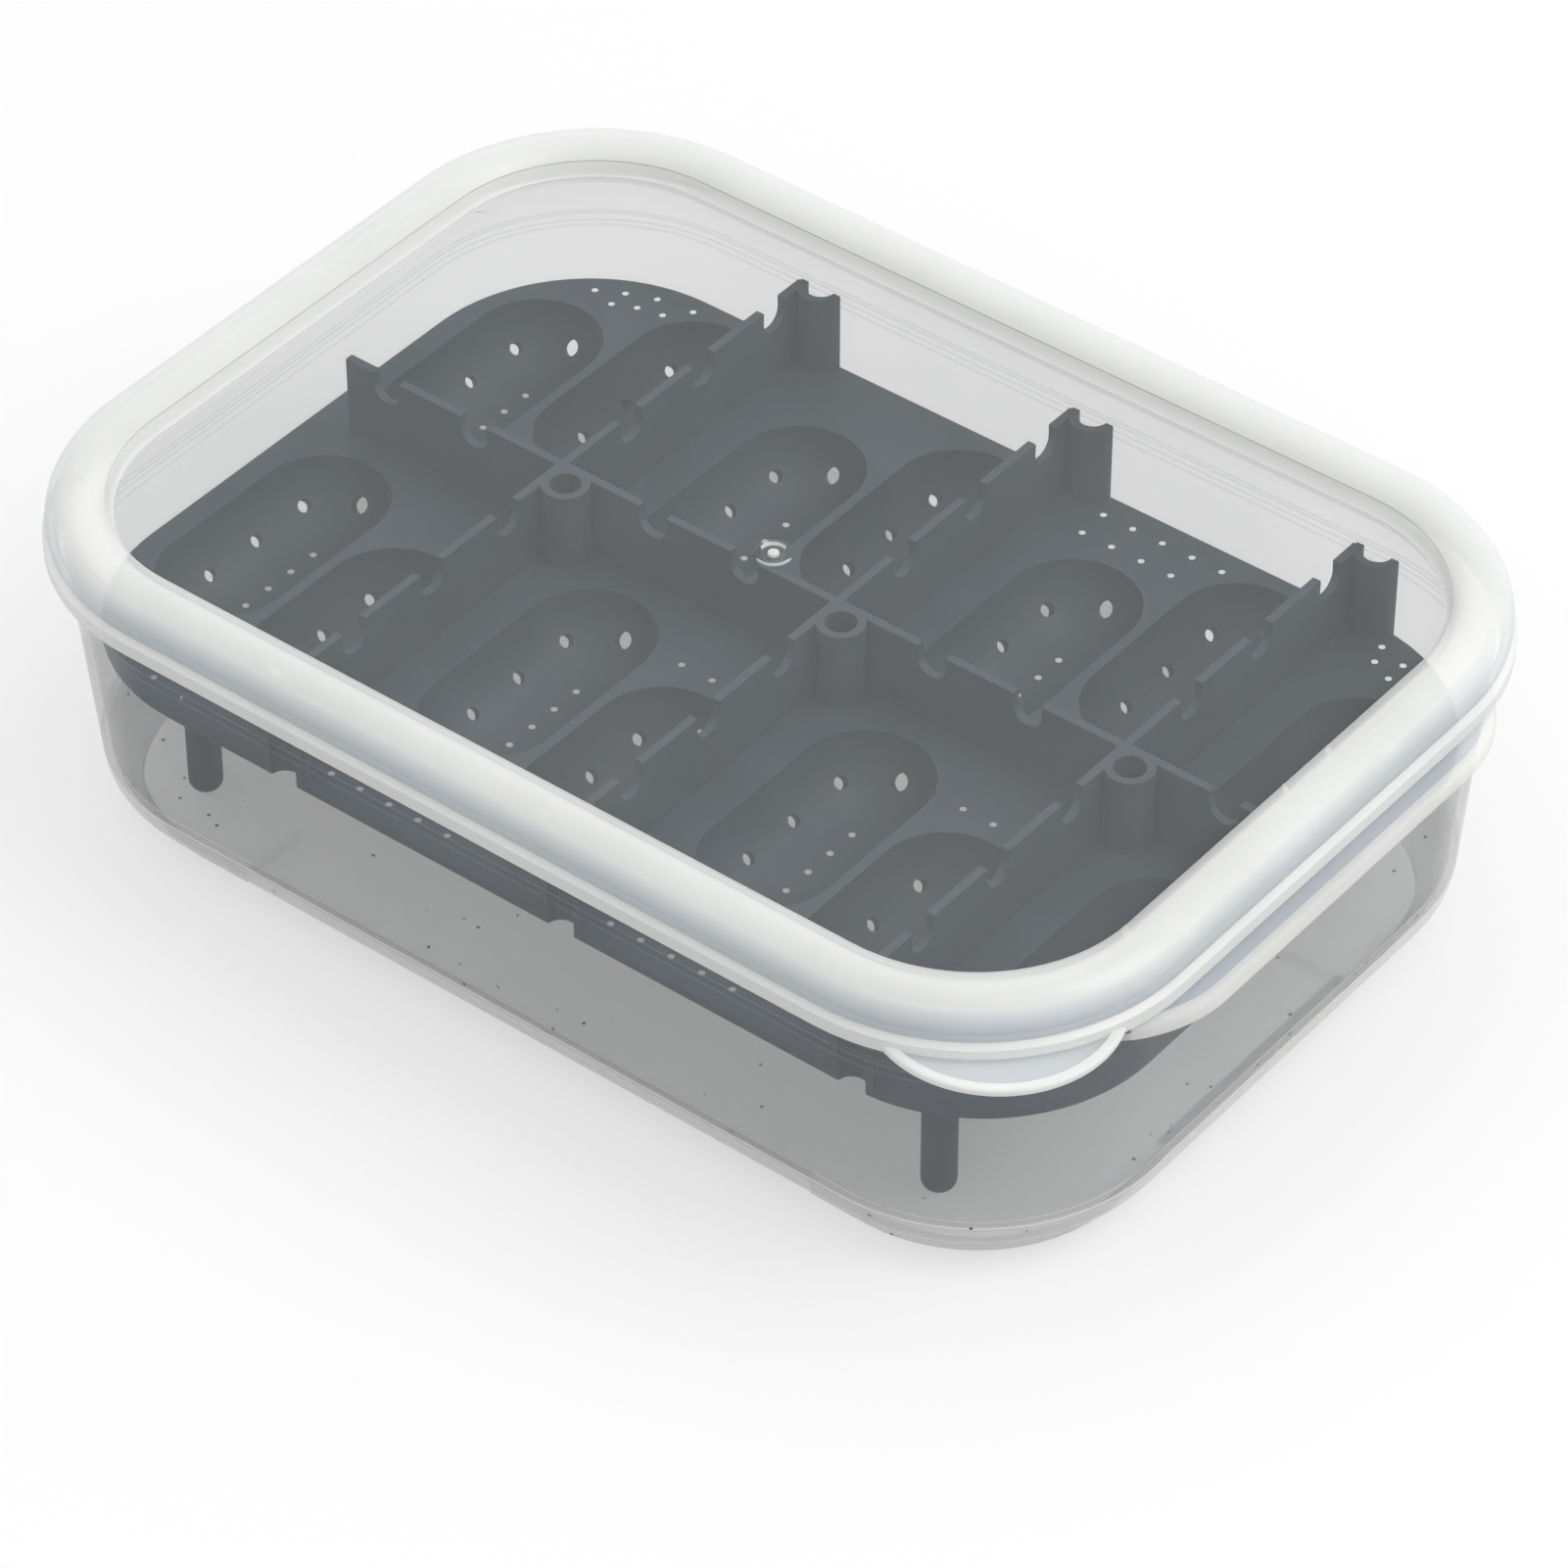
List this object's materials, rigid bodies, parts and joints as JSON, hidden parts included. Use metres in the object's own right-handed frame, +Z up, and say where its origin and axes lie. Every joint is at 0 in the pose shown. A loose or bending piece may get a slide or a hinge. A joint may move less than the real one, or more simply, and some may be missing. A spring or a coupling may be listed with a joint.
{
  "type": "reptile egg breeding box",
  "caption": "Low clear storage box with two end grips, a snap lid with a raised rounded bead and a corner pull tab, and a dark lift-out egg tray with staggered troughs, dividers and legs.",
  "frame": {"origin": "on the table under the middle of the box", "axes": "+X along the long side, +Y to the back, +Z up; the pull tab is at +X, -Y"},
  "size_m": [0.1888, 0.1314, 0.0533],
  "materials": {
    "frosted_polypropylene": "translucent, frosted",
    "milky_polyethylene": "translucent, milky",
    "slate_polystyrene": "satin"
  },
  "bodies": {
    "box": {"container": "frosted_polypropylene"},
    "lid": {"lid": "milky_polyethylene"},
    "tray": {"egg_tray": "slate_polystyrene"}
  },
  "joints": [
    {"name": "lid_lift", "type": "slide", "parent": "box", "child": "lid", "axis": [0, 0, 1], "range_m": [0, 0.11]},
    {"name": "tray_lift", "type": "slide", "parent": "box", "child": "tray", "axis": [0, 0, 1], "range_m": [0, 0.056]}
  ],
  "couplings": [
    {"joint": "tray_lift", "follows": "lid_lift", "ratio": 0.5}
  ]
}
